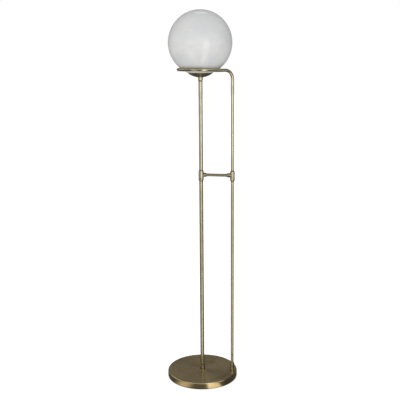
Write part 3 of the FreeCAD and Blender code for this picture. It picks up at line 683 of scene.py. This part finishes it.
# Distance from the lamp and height of the room's outline, from its ground to its ceiling.
ROOM_OUTLINE = [(0.147, 0.0006), (2.3, 0.0006), (2.9, 0.12), (2.9, 2.6), (2.4, 3.5), (0.02, 4.0)]


def round_lamp(turn, distance, height):
    """A place round the lamp: a turn to the camera's right of the camera, in degrees."""
    angle = VIEW_TURN + math.radians(turn)
    return Vector((math.sin(angle) * distance, -math.cos(angle) * distance, height))


def set_world():
    """Soft light all round. What the camera, metal and glass see of it is plain white."""
    world = bpy.data.worlds.new("studio")
    bpy.context.scene.world = world
    world.use_nodes = True
    f = Finish(world.node_tree)
    colour = f.tint(f.looked_at(), SOFT_LIGHT, WHITE)
    light = f.node("ShaderNodeBackground", {}, {"Color": colour, "Strength": 1.0})
    f.node("ShaderNodeOutputWorld", {}, {"Surface": light})


def set_floor():
    """A pale floor that goes over into the white background and keeps the lamp's shadow."""
    shape = bmesh.new()
    bmesh.ops.create_grid(shape, x_segments=1, y_segments=1, size=FLOOR_SIZE)
    mesh = bpy.data.meshes.new("floor")
    shape.to_mesh(mesh)
    shape.free()
    material, f = new_finish("studio_floor")
    glow = f.tint(f.looked_at(), BLACK, FLOOR_GLOW)
    f.surface(Base_Color=FLOOR_COLOUR, Roughness=0.9, Specular_IOR_Level=0.1,
              Emission_Color=glow, Emission_Strength=1.0)
    floor = put_in_scene("floor", mesh, material)
    floor.location.z = -FLOOR_SUNK


def add_lamp(name, place, aim_height, width, height, power, mirrored=True):
    """A soft round lamp, aimed at a height on the stem's axis. One that isn't mirrored lights only dull
    surfaces."""
    data = bpy.data.lights.new(name, "AREA")
    data.shape = "ELLIPSE"
    data.size, data.size_y = width, height
    data.energy = power
    lamp = bpy.data.objects.new(name, data)
    lamp.location = place
    lamp.rotation_mode = "QUATERNION"
    lamp.rotation_quaternion = (Vector((0, 0, aim_height)) - place).to_track_quat("-Z", "Y")
    lamp.visible_camera = False
    lamp.visible_glossy = mirrored
    bpy.context.scene.collection.objects.link(lamp)


def room_mesh(steps=96):
    """The room's outline turned round the lamp."""
    verts = [round_lamp(360 * step / steps, distance, height)
             for step in range(steps) for distance, height in ROOM_OUTLINE]
    count = len(ROOM_OUTLINE)
    faces = []
    for step in range(steps):
        first, beside = step * count, (step + 1) % steps * count
        faces += [(first + corner, beside + corner, beside + corner + 1, first + corner + 1)
                  for corner in range(count - 1)]
    mesh = bpy.data.meshes.new("surround")
    mesh.from_pydata(verts, [], faces)
    return mesh


def room_paint(name):
    """Pale in front, greyer with a window at the left, dark at the right and low at the back, under a dull
    ceiling and over a dark ground with two bright streaks."""
    material, f = new_finish(name)
    x, y, z = f.xyz(f.place())
    turn = f.maths("ARCTAN2", x, 0 - y) - VIEW_TURN
    left = f.ease(turn, -2.9, -1.8) * f.ease(turn, 0.9, 1.2, 1.0, 0.0)
    front = f.ease(turn, -0.5, -0.1) * f.ease(turn, 1.15, 1.38, 1.0, 0.0)
    window = f.near(turn, WINDOW_TURN, 0.30) * f.ease(z, 0.5, 0.9) * f.ease(z, 2.0, 2.4, 1.0, 0.0)
    back = f.tint(f.ease(z, 0.25, 0.55), ROOM_LOW_BACK, ROOM_BACK)
    wall = f.tint(left, ROOM_DARK, ROOM_LEFT)
    wall = f.tint(front, wall, ROOM_FRONT)
    wall = f.tint(window, wall, ROOM_WINDOW)
    wall = f.tint(f.ease(abs(turn), 2.5, 2.9), wall, back)
    wall = f.tint(f.ease(z, 2.3, 3.0), wall, ROOM_CEILING)
    main_streak = f.ease(abs(turn - STREAK_TURN), 0.15, 0.27, 1.0, 0.0)
    side_streak = f.near(turn, WINDOW_TURN, 0.40) * 0.6
    ground = f.tint(main_streak + side_streak, GROUND, GROUND_STREAK)
    colour = f.tint(f.ease(z, 0.01, 0.5), ground, wall)
    light = f.node("ShaderNodeEmission", {}, {"Color": colour, "Strength": 1.0})
    f.node("ShaderNodeOutputMaterial", {}, {"Surface": light})
    return material


def add_surround():
    """The studio's room as metal and glass see it, on a card that nothing else sees."""
    card = put_in_scene("surround", room_mesh(), room_paint("surround_card"))
    card.visible_camera = False
    card.visible_diffuse = False
    card.visible_shadow = False
    card.visible_transmission = False


set_world()
set_floor()
add_surround()
add_lamp("main_light", round_lamp(21.6, distance=2.6, height=1.04), aim_height=1.20,
         width=1.15, height=1.15, power=8.0)
add_lamp("front_soft", round_lamp(-26, distance=2.7, height=1.9), aim_height=1.1,
         width=2.0, height=2.0, power=13.0, mirrored=False)
add_lamp("top_light", round_lamp(176, distance=0.95, height=2.95), aim_height=1.3,
         width=0.7, height=0.3, power=0.9)


# ---------------------------------------------------------------- camera

CAMERA_PLACE = (-5.177 * MM, -2737.28 * MM, 1278.51 * MM)    # before its turn round the lamp

camera_data = bpy.data.cameras.new("camera")
camera_data.sensor_width = 36.0
camera_data.lens = 61.985
camera_data.clip_start = 0.05
camera_data.clip_end = 100.0
camera = bpy.data.objects.new("camera", camera_data)
camera.matrix_world = (
    Matrix.Rotation(VIEW_TURN, 4, "Z")
    @ Matrix.Translation(CAMERA_PLACE)
    @ Matrix.Rotation(math.pi / 2 - VIEW_DROP, 4, "X")
    @ Matrix.Rotation(VIEW_ROLL, 4, "Z")
)
bpy.context.scene.collection.objects.link(camera)
bpy.context.scene.camera = camera
bpy.context.scene.view_settings.view_transform = "Standard"
